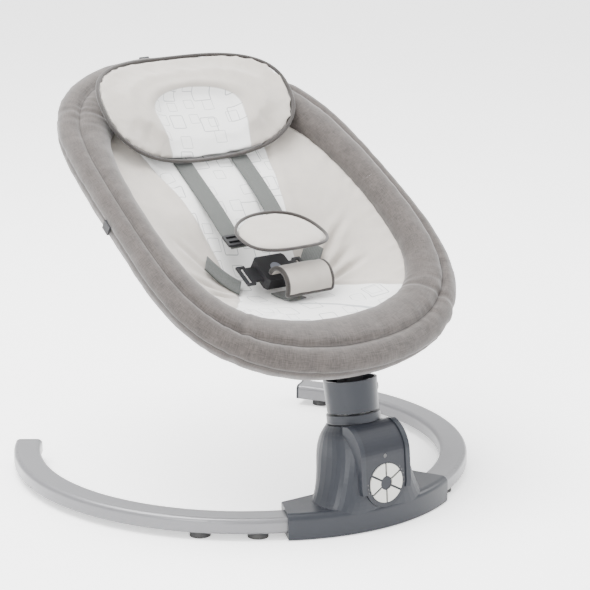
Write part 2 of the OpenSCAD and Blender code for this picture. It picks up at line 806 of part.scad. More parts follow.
module swing_sleeve() {
    h = sleeve_top - SLEEVE_LOW;
    ring_frame() color(C_SLATE) axis_frame() difference() {
        translate([0, 0, SLEEVE_LOW]) cylinder(d1 = sleeve_low_d, d2 = sleeve_d, h = h);
        translate([0, 0, SLEEVE_LOW - 1])
            cylinder(d1 = sleeve_low_d - 2 * sleeve_wall, d2 = sleeve_d - 2 * sleeve_wall, h = h + 2);
        translate([20, 0, RELEASE_H]) rotate([0, 90, 0]) cylinder(d = release_d + 2 * FIT, h = 20);
    }
}

// the casting inside the sleeve: a web on the spindle and the lug for the recline pin
module sleeve_hub() {
    ring_frame() color(C_DARK) axis_frame() difference() {
        union() {
            translate([0, 0, WEB_LOW]) cylinder(d = sleeve_low_d - 2 * sleeve_wall - 2 * FIT, h = WEB_T);
            translate([0, 0, WEB_LOW]) cylinder(d = 30, h = 26);
            translate([-lug_w / 2, -lug_r, WEB_LOW + 20]) cube([lug_w, 2 * lug_r, hinge_h - WEB_LOW - 20]);
            translate([-lug_w / 2, 0, hinge_h]) rotate([0, 90, 0]) cylinder(r = lug_r, h = lug_w);
        }
        translate([0, 0, WEB_LOW - 1])
            cylinder(d = spindle_d + 2 * THIN, h = SPINDLE_TOP - WEB_LOW + 1 + THIN);
        translate([-lug_w, 0, hinge_h]) rotate([0, 90, 0]) cylinder(d = pin_d + 2 * run_clear, h = 2 * lug_w);
    }
}

module release_button() {
    face = sleeve_d / 2 + release_travel - 0.6;
    back = sleeve_low_d / 2 - sleeve_wall - 5.5;
    ring_frame() color(C_SLATE) axis_frame() translate([0, 0, RELEASE_H]) rotate([0, 90, 0])
        translate([0, 0, back]) cylinder(d = release_d, h = face - back);
}

// ---------------------------------------------------------------- seat frame

function curve_pt(t) =
    let (s = sin(t), u = frame_half_l * sgn_pow(s, 2 / CURVE_N))
    [frame_half_w * sgn_pow(cos(t), 2 / CURVE_N) * (1 + CURVE_SKEW * s + CURVE_FULL * s * s),
     u, CURVE_SAG * pow(u / frame_half_l, 2)];
// outward direction of the frame's curve in the seat's plane
function curve_out(t) =
    let (d = curve_pt(t + 0.7) - curve_pt(t - 0.7), l = norm([d[0], d[1]]))
    [d[1] / l, -d[0] / l, 0];
function rim_half(t) = rim_side + rim_foot * pow(max(0, -sin(t)), 2) + rim_head * pow(max(0, sin(t)), 2);

function ring_about(t, half_w, half_t, n) =
    let (c = curve_pt(t), o = curve_out(t))
    [for (k = [0:n - 1]) let (a = 360 * k / n) c + o * half_w * cos(a) + [0, 0, half_t * sin(a)]];

function tube_rings(from_t, to_t, steps, r, n) =
    [for (i = [0:steps]) ring_about(from_t + (to_t - from_t) * i / steps, r, r, n)];

// a hollow tube along the frame's curve
module bent_tube(from_t, to_t, steps, r, wall, n) {
    outer = tube_rings(from_t, to_t, steps, r, n);
    inner = tube_rings(from_t, to_t, steps, r - wall, n);
    m = steps + 1;
    pts = [for (q = concat(outer, inner)) each q];
    walls = [for (i = [0:m - 2], j = [0:n - 1], k = [0, 1])
        let (a = i * n + j, b = i * n + (j + 1) % n)
        k == 0 ? [a, b, a + n] : [b, b + n, a + n]];
    bores = [for (f = walls) [f[0] + m * n, f[2] + m * n, f[1] + m * n]];
    low = [for (j = [0:n - 1], k = [0, 1]) let (a = j, b = (j + 1) % n, c = m * n)
        k == 0 ? [a, a + c, b] : [b, a + c, b + c]];
    high = [for (f = low) [f[0] + (m - 1) * n, f[2] + (m - 1) * n, f[1] + (m - 1) * n]];
    polyhedron(points = pts, faces = concat(walls, bores, low, high), convexity = 8);
}

module foot_frame_tube() {
    ring_frame() color(C_STEEL) seat_frame()
        bent_tube(180 + JOIN_T + 0.5, 360 - JOIN_T - 0.5, 34, frame_d / 2, frame_wall, 12);
}

module head_frame_tube() {
    ring_frame() color(C_STEEL) seat_frame()
        bent_tube(-JOIN_T, 180 + JOIN_T, 40, frame_d / 2, frame_wall, 12);
}

module frame_connectors() {
    ring_frame() color(C_DARK) seat_frame() for (m = [-JOIN_T, 180 + JOIN_T])
        bent_tube(m - 6, m + 6, 4, frame_d / 2 + 0.6 + JOINT_T, JOINT_T, 12);
}

// ---------------------------------------------------------------- seat carrier

TUBE_AT = seat_to_ring(curve_pt(-90));
SADDLE_R = frame_d / 2 + 2;
SADDLE_WALL = 5;
CARRIER_W = lug_w + 2 * ear_t + 1;

// the carrier's outer shape, w wide and grown by g: an eye on the pin, one on the tube, a web between
module carrier_shape(w, g) {
    d = [TUBE_AT[1] - HINGE_Y, TUBE_AT[2] - HINGE_Z];
    l = norm(d);
    n = [-d[1] / l, d[0] / l];
    r1 = lug_r + 1 + g;
    r2 = SADDLE_R + SADDLE_WALL + g;
    p = [HINGE_Y, HINGE_Z];
    q = [TUBE_AT[1], TUBE_AT[2]];
    c = 0.97;
    across(w) translate(p) circle(r1);
    across(w) translate(q) circle(r2);
    across(w) polygon([p + n * r1 * c, q + n * r2 * c, q - n * r2 * c, p - n * r1 * c]);
}

module seat_carrier() {
    ring_frame() color(C_DARK) difference() {
        carrier_shape(CARRIER_W, 0);
        // room for the lug on the sleeve
        across(lug_w + 1) union() {
            translate([HINGE_Y, HINGE_Z]) circle(lug_r + 1.5);
            translate([HINGE_Y - 20, HINGE_Z - 40]) square([40, 40]);
        }
        across(BIG) translate([TUBE_AT[1], TUBE_AT[2]]) circle(SADDLE_R);
        across(BIG) translate([HINGE_Y, HINGE_Z]) circle(d = pin_d + 2 * THIN);
    }
}

module hinge_pin() {
    ring_frame() color(C_STEEL) across(CARRIER_W) translate([HINGE_Y, HINGE_Z]) circle(d = pin_d);
}

// ---------------------------------------------------------------- soft seat

module seat_rim() {
    steps = RIM_STEPS;
    ring_frame() color(C_TAUPE) difference() {
        seat_frame() difference() {
            loop_skin([for (i = [steps - 1:-1:0]) let (t = 360 * i / steps)
                ring_about(t, rim_half(t), rim_q, RIM_SIDES)]);
            loop_skin([for (i = [steps - 1:-1:0]) ring_about(360 * i / steps, TUNNEL_R, TUNNEL_R, 12)]);
        }
        carrier_shape(CARRIER_W + 6, 3);
        across(CARRIER_W + 6) translate([HINGE_Y - 19, HINGE_Z - 60]) square([38, 60]);
    }
}

// height of the sling's top surface off the seat's plane
function edge_pt(t, gap) = curve_pt(t) - curve_out(t) * (rim_half(t) + gap);
function sling_dip(u) = -sling_depth - hip_depth * exp(-pow((u - HIP_U) / HIP_SPREAD, 2));
function sling_pt(t, f, gap, drop) =
    let (e = edge_pt(t, gap), x = e[0] * f, u = SLING_MID + (e[1] - SLING_MID) * f)
    [x, u, e[2] * f * f + sling_dip(u) * (1 - pow(f, 2.4)) - drop];

module seat_sling() {
    n = SLING_SIDES;
    m = SLING_RINGS;
    top = [for (i = [1:m], k = [0:n - 1]) sling_pt(360 * k / n, i / m, EDGE_GAP, 0)];
    low = [for (i = [1:m], k = [0:n - 1]) sling_pt(360 * k / n, i / m, EDGE_GAP, sling_t)];
    c = m * n;
    pts = concat(top, low, [sling_pt(0, 0, EDGE_GAP, 0), sling_pt(0, 0, EDGE_GAP, sling_t)]);
    up = [for (i = [0:m - 2], k = [0:n - 1], h = [0, 1])
        let (a = i * n + k, b = i * n + (k + 1) % n)
        h == 0 ? [a, b, a + n] : [b, b + n, a + n]];
    down = [for (f = up) [f[0] + c, f[2] + c, f[1] + c]];
    fan_up = [for (k = [0:n - 1]) [2 * c, (k + 1) % n, k]];
    fan_down = [for (k = [0:n - 1]) [2 * c + 1, c + k, c + (k + 1) % n]];
    o = (m - 1) * n;
    rim = [for (k = [0:n - 1], h = [0, 1]) let (a = o + k, b = o + (k + 1) % n)
        h == 0 ? [a, b, a + c] : [b, b + c, a + c]];
    ring_frame() color(C_CREAM) seat_frame()
        polyhedron(points = pts, faces = concat(up, down, fan_up, fan_down, rim), convexity = 6);
}

// a padded oval: w across, l along, h thick; notch pulls in its lower edge, bend lifts its ends
module pad(w, l, h, notch = 0, bend = 0) {
    n = 28;
    m = 9;
    skin([for (i = [0:m]) let (v = -90 + 180 * i / m, c = pow(max(cos(v), 0.12), 0.55), z = h / 2 * sin(v))
        [for (k = [0:n - 1]) let (t = 360 * k / n, g = 1 - notch * pow(max(0, -sin(t)), 6))
            let (px = c * sgn_pow(cos(t), 0.82))
            [w / 2 * px, l / 2 * c * g * sgn_pow(sin(t), 0.82), z + bend * px * px]]]);
}

module head_cushion() {
    ring_frame() color(C_CREAM) seat_frame() translate([0, cushion_u, cushion_b]) rotate([cushion_tilt, 0, 0])
        pad(cushion_w, cushion_l, cushion_t, 0.08, cushion_bend);
}

// a flat strap along pts, w wide in direction dir, standing t off its path
module ribbon(pts, dir, w, t) {
    up = [0, 0, t];
    skin([for (p = pts) [p - dir * w / 2, p + dir * w / 2, p + dir * w / 2 + up, p - dir * w / 2 + up]]);
}

// height of the sling under a point across and along the seat
function edge_reach(ang, lo, hi, n) = n == 0 ? (lo + hi) / 2 :
    let (mid = (lo + hi) / 2, e = edge_pt(mid, EDGE_GAP), a = atan2(e[1] - SLING_MID, e[0]))
    ((a - ang + 540) % 360 - 180) > 0 ? edge_reach(ang, lo, mid, n - 1) : edge_reach(ang, mid, hi, n - 1);
function sling_height(x, u) =
    let (ang = atan2(u - SLING_MID, x), t = edge_reach(ang, -90, 90, 12), e = edge_pt(t, EDGE_GAP),
         f = norm([x, u - SLING_MID]) / norm([e[0], e[1] - SLING_MID]))
    e[2] * f * f + sling_dip(u) * (1 - pow(f, 2.4));

// a point on the shoulder strap's path, f from 0 at the slot to 1 at its lower end
function strap_pt(f) =
    let (u = SHOULDER_TOP + (STRAP_LOW - SHOULDER_TOP) * f, x = SHOULDER_X - 4 * f * f)
    [x, u, sling_height(x, u) + WEB_GAP + STRAP_LIFT * pow(f, 3)];

module shoulder_strap(s) {
    steps = 14;
    ring_frame() side(s) color(C_WEB) seat_frame()
        ribbon([for (i = [0:steps]) strap_pt(i / steps)], [1, 0, 0], web_w, web_t);
}

module shoulder_strap_left() { shoulder_strap(-1); }
module shoulder_strap_right() { shoulder_strap(1); }

module lap_strap(s) {
    steps = 6;
    low = TONGUE_X + 1;
    ring_frame() side(s) color(C_WEB) seat_frame() ribbon([for (i = [0:steps])
        let (f = i / steps, x = low + (LAP_OUT - low) * f, u = BUCKLE_U - 6 + LAP_RISE * f)
        [x, u, sling_height(x, u) + LAP_GAP]], [-0.6, 0.8, 0], web_w, web_t);
}

module lap_strap_left() { lap_strap(-1); }
module lap_strap_right() { lap_strap(1); }

module crotch_strap() {
    steps = 5;
    low = BUCKLE_U - buckle_l / 2 - 1;
    ring_frame() color(C_WEB) seat_frame() ribbon([for (i = [0:steps])
        let (u = low + (CROTCH_U - low) * i / steps)
        [0, u, sling_height(0, u) + WEB_GAP]], [1, 0, 0], web_w, web_t);
}

module belly_pad() {
    ring_frame() color(C_CREAM) seat_frame() translate(BELLY_PAD) rotate([BELLY_TILT, 0, 0])
        pad(belly_w, belly_l, belly_t, 0, BELLY_BEND);
}

// a short arch of padding over the crotch strap, its axis across the seat
module crotch_pad() {
    ring_frame() color(C_CREAM) seat_frame() translate(CROTCH_PAD) across(crotch_w)
        difference() {
            circle(crotch_r);
            circle(crotch_r - crotch_t);
            translate([-50, -100]) square(100);
        }
}

// ---------------------------------------------------------------- buckle

module buckle_frame() {
    ring_frame() seat_frame() translate([0, BUCKLE_U, BUCKLE_B]) children();
}

module buckle_body() {
    buckle_frame() color(C_DARK) difference() {
        intersection() {
            translate([-buckle_w / 2, -buckle_l / 2, 0]) cube([buckle_w, buckle_l, buckle_t]);
            cylinder(d = 1.25 * buckle_w, h = buckle_t);
        }
        for (s = [-1, 1]) side(s) translate([12, -13, buckle_t / 2 - TONGUE_T / 2 - FIT])
            cube([buckle_w, 26, TONGUE_T + 2 * FIT]);
        translate([0, 0, 4]) cylinder(d = buckle_button_d + 0.6, h = buckle_t);
    }
}

module buckle_button() {
    buckle_frame() color(C_SLATE)
        translate([0, 0, 4 + buckle_travel + 0.5]) cylinder(d = buckle_button_d, h = buckle_t - 5.5);
}

module tongue(s) {
    buckle_frame() side(s) color(C_DARK) translate([0, 0, buckle_t / 2 - TONGUE_T / 2]) difference() {
        union() {
            translate([13, -12, 0]) cube([24, 24, TONGUE_T]);
            translate([36, -16, 0]) cube([TONGUE_X - 36, 32, TONGUE_T]);
        }
        translate([TONGUE_X - 9, -13, -1]) cube([5, 26, TONGUE_T + 2]);
    }
}

module tongue_left() { tongue(-1); }
module tongue_right() { tongue(1); }

// slide adjusters, one on each shoulder strap
module strap_adjusters() {
    p = strap_pt(ADJUST_AT);
    d = strap_pt(ADJUST_AT - 0.06) - strap_pt(ADJUST_AT + 0.06);
    ring_frame() color(C_DARK) for (s = [-1, 1]) side(s) seat_frame()
        translate(p) rotate([atan2(d[2], d[1]), 0, 0]) translate([0, 0, web_t + 1.4]) difference() {
            translate([-16, -9, 0]) cube([32, 18, 3]);
            for (y = [-6, 2]) translate([-13, y, -1]) cube([26, 4, 5]);
        }
}

// the clips that hold the rim cover to the frame: one over the head end, one at each side
module rim_clips() {
    ring_frame() color(C_DARK) seat_frame() for (t = [90, 180]) {
        o = curve_out(t);
        c = curve_pt(t) + o * (rim_half(t) + 0.8);
        translate([c[0], c[1], c[2] - (t == 90 ? 1 : 6)]) rotate([0, 0, atan2(o[1], o[0])])
            translate([0, -7, 0]) cube([3, 14, 12]);
    }
}

base_tube_left();
base_tube_right();
tube_cap_left();
tube_cap_right();
rubber_feet();
hub_housing();
hub_bottom_cover();
hub_screws();
front_panel();
button_1();
button_2();
button_3();
button_4();
button_5();
button_6();
led_lights();
ir_window();
control_board();
speaker();
dc_jack();
collar_ring();
bearing_block();
bearing_upper();
bearing_lower();
drive_motor();
motor_bracket();
motor_pinion();
spindle();
sector_gear();
spindle_nut();
swing_sleeve();
sleeve_hub();
release_button();
hinge_pin();
seat_carrier();
foot_frame_tube();
head_frame_tube();
frame_connectors();
seat_rim();
seat_sling();
head_cushion();
shoulder_strap_left();
shoulder_strap_right();
lap_strap_left();
lap_strap_right();
crotch_strap();
belly_pad();
crotch_pad();
buckle_body();
buckle_button();
tongue_left();
tongue_right();
strap_adjusters();
rim_clips();
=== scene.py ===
import math

import bmesh
import bpy
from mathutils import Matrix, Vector, noise


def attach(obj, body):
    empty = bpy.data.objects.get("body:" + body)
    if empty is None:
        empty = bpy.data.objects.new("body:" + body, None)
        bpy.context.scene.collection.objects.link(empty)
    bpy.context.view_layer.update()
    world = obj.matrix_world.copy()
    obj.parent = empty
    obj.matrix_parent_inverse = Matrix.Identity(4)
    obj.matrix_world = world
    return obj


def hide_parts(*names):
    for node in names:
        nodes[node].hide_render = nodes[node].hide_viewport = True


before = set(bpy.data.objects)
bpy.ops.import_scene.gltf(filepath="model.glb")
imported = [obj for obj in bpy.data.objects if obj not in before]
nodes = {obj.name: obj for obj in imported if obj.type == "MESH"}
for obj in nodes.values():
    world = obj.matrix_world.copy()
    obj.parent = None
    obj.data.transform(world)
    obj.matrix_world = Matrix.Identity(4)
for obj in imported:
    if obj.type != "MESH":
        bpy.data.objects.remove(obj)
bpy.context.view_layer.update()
scene = bpy.context.scene

# ---------------------------------------------------------------- camera, floor and light
# The swing stands on a plain white studio floor, seen from the front left and from a little above.
# A large soft light hangs overhead and a weaker one stands at the side of the camera.
camera_data = bpy.data.cameras.new("studio_camera")
camera_data.lens = 148.4
camera_data.sensor_width = 36
camera_data.clip_end = 200
camera = bpy.data.objects.new("studio_camera", camera_data)
scene.collection.objects.link(camera)
camera.location = (-1.6762, -2.40503, 1.0035)
camera.rotation_euler = (math.radians(75.213), 0, math.radians(-35.766))
scene.camera = camera


def area_light(name, place, aim, size, watts):
    lamp = bpy.data.lights.new(name, "AREA")
    lamp.shape = "DISK"
    lamp.size = size
    lamp.energy = watts
    holder = bpy.data.objects.new(name, lamp)
    holder.location = place
    holder.rotation_euler = (Vector(aim) - Vector(place)).to_track_quat("-Z", "Y").to_euler()
    scene.collection.objects.link(holder)


area_light("overhead_softbox", (-0.6, 0.5, 2.6), aim=(0, 0, 0.2), size=2.4, watts=205)
area_light("camera_side_fill", (-2.6, -1.6, 1.5), aim=(0, 0, 0.25), size=1.6, watts=58)
area_light("far_side_strip", (2.2, -0.6, 1.3), aim=(0, -0.1, 0.2), size=1.0, watts=26)

world = bpy.data.worlds.new("studio")
world.use_nodes = True
scene.world = world
sky = world.node_tree
back = sky.nodes["Background"]
direction = sky.nodes.new("ShaderNodeTexCoord")
height = sky.nodes.new("ShaderNodeSeparateXYZ")
shade = sky.nodes.new("ShaderNodeValToRGB")
shade.color_ramp.elements[0].position = 0.45
shade.color_ramp.elements[0].color = (0.50, 0.50, 0.51, 1)
shade.color_ramp.elements[1].position = 0.95
shade.color_ramp.elements[1].color = (1, 1, 1, 1)
lift = sky.nodes.new("ShaderNodeMapRange")
lift.inputs["From Min"].default_value = -1
sky.links.new(direction.outputs["Generated"], height.inputs[0])
sky.links.new(height.outputs["Z"], lift.inputs["Value"])
sky.links.new(lift.outputs[0], shade.inputs[0])
sky.links.new(shade.outputs[0], back.inputs["Color"])
back.inputs["Strength"].default_value = 2.7


def wire(tree, kind, sets=(), links=(), **props):
    """One node with its properties, its unlinked values and its incoming links."""
    node = tree.nodes.new("ShaderNode" + kind)
    for key, value in props.items():
        setattr(node, key, value)
    for key, value in dict(sets).items():
        node.inputs[key].default_value = value
    for key, source in dict(links).items():
        tree.links.new(source, node.inputs[key])
    return node


def operated(tree, kind, operation, inputs, out):
    """The result of a maths node; each input is a number, a vector or another node's output."""
    sets = {k: v for k, v in enumerate(inputs) if not isinstance(v, bpy.types.NodeSocket)}
    links = {k: v for k, v in enumerate(inputs) if isinstance(v, bpy.types.NodeSocket)}
    return wire(tree, kind, sets, links, operation=operation).outputs[out]


def sums(tree, operation, *inputs):
    return operated(tree, "Math", operation, inputs, 0)


def vectors(tree, operation, *inputs, out=0):
    return operated(tree, "VectorMath", operation, inputs, out)


def mixed(tree, share, first, second):
    """Two colours mixed by a share; each is a plain colour or another node's output."""
    sets, links = {}, {0: share}
    for k, colour in ((6, first), (7, second)):
        if isinstance(colour, tuple):
            sets[k] = (*colour, 1)
        else:
            links[k] = colour
    return wire(tree, "Mix", sets, links, data_type="RGBA").outputs[2]


def finish_named(name, colour, rough, **values):
    """A new material with a plain surface; its pattern is wired in afterwards."""
    mat = bpy.data.materials.new(name)
    mat.use_nodes = True
    surface = mat.node_tree.nodes["Principled BSDF"]
    surface.inputs["Base Color"].default_value = (*colour, 1)
    surface.inputs["Roughness"].default_value = rough
    for key, value in values.items():
        surface.inputs[key.replace("_", " ")].default_value = value
    return mat, mat.node_tree, surface


def two_tone(tree, fac, dark, light, low=0.35, high=0.65):
    ramp = wire(tree, "ValToRGB", links={0: fac})
    ramp.color_ramp.elements[0].position = low
    ramp.color_ramp.elements[0].color = (*dark, 1)
    ramp.color_ramp.elements[1].position = high
    ramp.color_ramp.elements[1].color = (*light, 1)
    return ramp.outputs[0]


def grain(tree, place, scale, detail=3.0, rough=0.55):
    sets = {"Scale": scale, "Detail": detail, "Roughness": rough}
    return wire(tree, "TexNoise", sets, {"Vector": place}).outputs[0]


def bumped(tree, surface, high, strength, distance):
    bump = wire(tree, "Bump", {"Strength": strength, "Distance": distance}, {"Height": high})
    tree.links.new(bump.outputs[0], surface.inputs["Normal"])


def spread(tree, value, low, high):
    """A noise value stretched from its usual middle range to low and high."""
    sets = {"From Min": 0.3, "From Max": 0.7, "To Min": low, "To Max": high}
    return wire(tree, "MapRange", sets, {"Value": value}).outputs[0]


def coloured(tree, surface, colour):
    tree.links.new(colour, surface.inputs["Base Color"])


def roughened(tree, surface, rough):
    tree.links.new(rough, surface.inputs["Roughness"])


floor_mat, tree, surface = finish_named("white_floor", (0.93, 0.93, 0.93), 0.6,
                                        Emission_Color=(1, 1, 1, 1), Emission_Strength=0.7)
spot = wire(tree, "TexCoord").outputs["Object"]
coloured(tree, surface, two_tone(tree, grain(tree, spot, 3.0), (0.925, 0.925, 0.925), (0.94, 0.94, 0.94)))
bm = bmesh.new()
bmesh.ops.create_grid(bm, x_segments=1, y_segments=1, size=30)
floor_mesh = bpy.data.meshes.new("studio_floor")
bm.to_mesh(floor_mesh)
bm.free()
floor_mesh.materials.append(floor_mat)
floor = bpy.data.objects.new("studio_floor", floor_mesh)
scene.collection.objects.link(floor)


# ---------------------------------------------------------------- base tubes, caps and feet
# Two bent flat-oval steel tubes make the open ring. They are sprayed silver with a satin clear coat,
# closed by a moulded cap at the tail and stand on black rubber feet pushed into drilled holes.
def paint_nodes(mat, *names):
    for name in names:
        mesh = nodes[name].data
        mesh.materials.clear()
        mesh.materials.append(mat)


silver, tree, surface = finish_named("silver_paint", (0.1385, 0.1385, 0.1450), 0.34,
                                     Metallic=0.45, Coat_Weight=0.25, Coat_Roughness=0.25)
spot = wire(tree, "TexCoord").outputs["Object"]
flake = grain(tree, spot, 2600.0, 2.0)
cloud = grain(tree, spot, 9.0, 2.0)
coloured(tree, surface, two_tone(tree, flake, (0.1260, 0.1260, 0.1325), (0.1510, 0.1510, 0.1575)))
roughened(tree, surface, spread(tree, cloud, 0.30, 0.40))
bumped(tree, surface, grain(tree, spot, 420.0, 2.0), 0.06, 0.0004)
paint_nodes(silver, "base_tube_left", "base_tube_right")

rubber, tree, surface = finish_named("black_rubber", (0.022, 0.022, 0.023), 0.75)
spot = wire(tree, "TexCoord").outputs["Object"]
dust = grain(tree, spot, 160.0, 4.0)
coloured(tree, surface, two_tone(tree, dust, (0.018, 0.018, 0.019), (0.036, 0.035, 0.034)))
roughened(tree, surface, spread(tree, dust, 0.66, 0.84))
bumped(tree, surface, grain(tree, spot, 1400.0, 2.0), 0.25, 0.0003)
paint_nodes(rubber, "rubber_feet")


# ---------------------------------------------------------------- hub mouldings and swing sleeve
# Slate-grey injection-moulded shells with a fine satin texture. The housing and its cover are screwed
# together around the drive; the collar, panel and sleeve come from the same plastic.
def satin_plastic(name, colour, rough, speck=0.12):
    mat, tree, surface = finish_named(name, colour, rough, IOR=1.48, Specular_IOR_Level=0.3)
    spot = wire(tree, "TexCoord").outputs["Object"]
    pores = grain(tree, spot, 1500.0, 2.0)
    cloud = grain(tree, spot, 14.0, 3.0)
    dark = tuple(c * (1 - speck) for c in colour)
    light = tuple(min(1, c * (1 + speck)) for c in colour)
    coloured(tree, surface, two_tone(tree, cloud, dark, light, 0.25, 0.75))
    roughened(tree, surface, spread(tree, cloud, rough - 0.04, rough + 0.05))
    bumped(tree, surface, pores, 0.12, 0.0003)
    return mat


slate = satin_plastic("slate_plastic", (0.0165, 0.0185, 0.0235), 0.36, 0.04)
paint_nodes(slate, "hub_housing", "hub_bottom_cover", "collar_ring", "swing_sleeve",
            "tube_cap_left", "tube_cap_right", "release_button")
# The front panel is the same slate plastic coloured a shade darker: painted shade for its concave face.
panel_slate_painted_shade = satin_plastic("panel_plastic_painted_shade", (0.0125, 0.0140, 0.0185), 0.30, 0.05)
paint_nodes(panel_slate_painted_shade, "front_panel")


# ---------------------------------------------------------------- buttons, lights and electronics
# Six pale wedge buttons sit in the round panel around a plain middle. Small smoked light pipes show the
# settings; the board, speaker and socket are behind them in the hub.
pale_button = satin_plastic("button_plastic", (0.46, 0.46, 0.43), 0.42, 0.03)
paint_nodes(pale_button, *[f"button_{k}" for k in range(1, 7)])

smoked, tree, surface = finish_named("smoked_lens", (0.012, 0.013, 0.015), 0.12, Coat_Weight=0.4)
spot = wire(tree, "TexCoord").outputs["Object"]
roughened(tree, surface, spread(tree, grain(tree, spot, 240.0), 0.08, 0.2))
paint_nodes(smoked, "led_lights", "ir_window")

black = satin_plastic("black_plastic", (0.022, 0.022, 0.024), 0.42, 0.2)
paint_nodes(black, "speaker", "dc_jack", "motor_bracket", "sleeve_hub", "seat_carrier",
            "frame_connectors", "buckle_body", "tongue_left", "tongue_right", "strap_adjusters", "rim_clips")

board, tree, surface = finish_named("board_lacquer", (0.03, 0.13, 0.06), 0.3)
spot = wire(tree, "TexCoord").outputs["Object"]
cells = wire(tree, "TexVoronoi", {"Scale": 260.0}, {"Vector": spot}, feature="DISTANCE_TO_EDGE")
coloured(tree, surface, two_tone(tree, cells.outputs[0], (0.06, 0.22, 0.10), (0.02, 0.10, 0.05), 0.05, 0.12))
paint_nodes(board, "control_board")


# ---------------------------------------------------------------- drive, bearings and seat frame
# The motor turns a small pinion against the sector gear under the spindle. Gears are natural acetal;
# the spindle, bearings, pins and seat frame tubes are bare or bright-plated steel.
steel, tree, surface = finish_named("machined_steel", (0.52, 0.53, 0.55), 0.3, Metallic=1.0)
spot = wire(tree, "TexCoord").outputs["Object"]
rings = wire(tree, "Mapping", {"Scale": (40, 40, 2400)}, {"Vector": spot}).outputs[0]
turned = grain(tree, rings, 1.0, 2.0)
roughened(tree, surface, spread(tree, turned, 0.22, 0.42))
bumped(tree, surface, turned, 0.08, 0.0002)
paint_nodes(steel, "hub_screws", "bearing_block", "bearing_upper", "bearing_lower", "drive_motor",
            "spindle", "spindle_nut", "hinge_pin", "foot_frame_tube", "head_frame_tube")
acetal = satin_plastic("natural_acetal", (0.72, 0.70, 0.62), 0.4, 0.03)
paint_nodes(acetal, "motor_pinion", "sector_gear")


# ---------------------------------------------------------------- padded rim cover
# A foam ring in a taupe melange cover is drawn over the seat frame. A stitched channel splits its top
# into two rolls, a second seam runs round the outside, and four cross seams join the cover's panels.
SEAT_LEAN = math.radians(31.4)
SEAT_MIDDLE = Vector((0, 0.00944, 0.3426))
ALONG = Vector((0, math.cos(SEAT_LEAN), math.sin(SEAT_LEAN)))
OFF = Vector((0, -math.sin(SEAT_LEAN), math.cos(SEAT_LEAN)))
FRAME_HALF_WIDE, FRAME_HALF_LONG = 187, 242
FRAME_SQUARE = 2.09  # 2 is an ellipse, more is squarer
FRAME_SKEW, FRAME_FULL, FRAME_SAG = -0.06, 0.34, -10.6
ROLL_HALF, FOOT_EXTRA, HEAD_EXTRA = 22.9, 17.8, 23.5
RIM_THICK = 24.8
CHANNEL_AT, OUTER_SEAM_AT = 70.0, 4.0
FOOT_DEG = 270
CROSS_SEAMS = (48.0, 132.0, 235.5, 304.5)


def on_seat(x, u, b):
    """A point in the seat's own frame, millimetres across, along and off it, as a place in metres."""
    return Vector((x / 1000, 0, 0)) + SEAT_MIDDLE + ALONG * (u / 1000) + OFF * (b / 1000)


def eased(value, power):
    return math.copysign(abs(value) ** power, value)


def frame_line(deg):
    s, c = math.sin(math.radians(deg)), math.cos(math.radians(deg))
    u = FRAME_HALF_LONG * eased(s, 2 / FRAME_SQUARE)
    x = FRAME_HALF_WIDE * eased(c, 2 / FRAME_SQUARE) * (1 + FRAME_SKEW * s + FRAME_FULL * s * s)
    return Vector((x, u, FRAME_SAG * (u / FRAME_HALF_LONG) ** 2))


def outward(deg):
    step = frame_line(deg + 0.7) - frame_line(deg - 0.7)
    return Vector((step.y, -step.x, 0)).normalized()


def rim_half(deg):
    s = math.sin(math.radians(deg))
    return ROLL_HALF + FOOT_EXTRA * max(0, -s) ** 2 + HEAD_EXTRA * max(0, s) ** 2


def dip(value, at, width):
    return math.exp(-(((value - at) / width) ** 2))


def new_piece(name, bm, mats, body, stands_for=()):
    """The mesh becomes a smooth-shaded object that rides on its body."""
    mesh = bpy.data.meshes.new(name)
    bm.to_mesh(mesh)
    bm.free()
    for mat in mats:
        mesh.materials.append(mat)
    mesh.polygons.foreach_set("use_smooth", [True] * len(mesh.polygons))
    piece = bpy.data.objects.new(name, mesh)
    scene.collection.objects.link(piece)
    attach(piece, body)
    if stands_for:
        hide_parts(*stands_for)
    return piece


def shaped_grid(columns, rows, place, size, weld=True):
    """A grid whose directions run 0 to 1. place() gives a vertex its spot, size is the UV's in metres."""
    bm = bmesh.new()
    bmesh.ops.create_grid(bm, x_segments=columns, y_segments=rows, size=0.5)
    uv = bm.loops.layers.uv.new("UVMap")
    for face in bm.faces:
        for loop in face.loops:
            p = loop.vert.co
            loop[uv].uv = ((p.x + 0.5) * size[0], (p.y + 0.5) * size[1])
    for vert in bm.verts:
        vert.co = place(vert.co.x + 0.5, vert.co.y + 0.5)
    if weld:
        bmesh.ops.remove_doubles(bm, verts=bm.verts, dist=2e-5)
    bmesh.ops.recalc_face_normals(bm, faces=bm.faces)
    return bm


